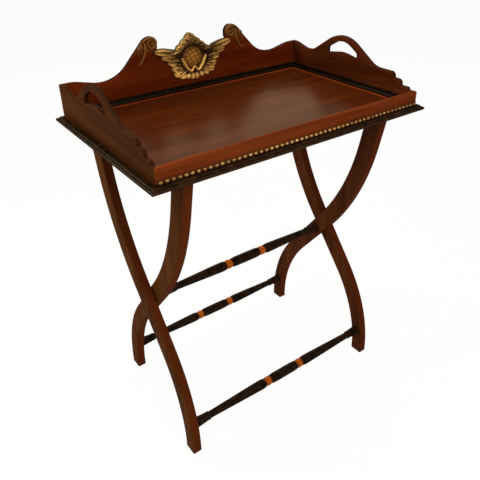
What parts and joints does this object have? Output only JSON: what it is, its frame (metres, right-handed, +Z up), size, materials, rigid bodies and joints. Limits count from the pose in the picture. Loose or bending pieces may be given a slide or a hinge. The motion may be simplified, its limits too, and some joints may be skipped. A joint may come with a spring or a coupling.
{
  "type": "butlers tray table",
  "caption": "Galleried wooden serving tray with a scrolled back, pierced hand holes and a carved cartouche, resting on a folding stand of crossed S-shaped legs.",
  "frame": {"origin": "On the ground under the middle of the stand's pivot, below the middle of the tray.", "axes": "+X along the tray to the right of a person at its front lip, +Y towards the scrolled back board, +Z up."},
  "size_m": [0.72, 0.472, 0.9185],
  "materials": {
    "mahogany": "french polished, red-brown",
    "ebonised_wood": "black stained and polished",
    "string_wood": "polished light wood",
    "gilt_wood": "gilded carving with dark recesses",
    "carved_wood": "bronzed carving",
    "plain_wood": "plain oiled",
    "washer_brass": "dull"
  },
  "bodies": {
    "inner_frame": {"inner_leg_left": "mahogany", "inner_leg_right": "mahogany", "pivot_rail": "ebonised_wood", "rear_stretcher": "ebonised_wood", "pivot_washer_left": "washer_brass", "pivot_washer_right": "washer_brass"},
    "outer_frame": {"outer_leg_left": "mahogany", "outer_leg_right": "mahogany", "front_stretcher": "ebonised_wood"},
    "tray": {"tray_floor": "mahogany", "rim_front": "ebonised_wood", "rim_back": "ebonised_wood", "rim_left": "ebonised_wood", "rim_right": "ebonised_wood", "back_board": "mahogany", "front_lip": "mahogany", "left_board": "mahogany", "right_board": "mahogany", "cove_back": "ebonised_wood", "cove_left": "ebonised_wood", "cove_right": "ebonised_wood", "string_back": "string_wood", "string_left": "string_wood", "string_right": "string_wood", "bead_moulding": "gilt_wood", "cartouche": "gilt_wood", "scroll_ornament_left": "carved_wood", "scroll_ornament_right": "carved_wood", "batten_front": "plain_wood", "batten_back": "plain_wood"}
  },
  "joints": [
    {"name": "tray_lift", "type": "slide", "parent": "inner_frame", "child": "tray", "axis": [0, 0, 1], "range_m": [0, 0.3]},
    {"name": "stand_fold", "type": "hinge", "parent": "inner_frame", "child": "outer_frame", "pos_m": [0, 0, 0.358], "axis": [1, 0, 0], "range_deg": [0, 55]}
  ],
  "couplings": [
    {"joint": "stand_fold", "follows": "tray_lift", "rad_per_m": 3.19}
  ]
}
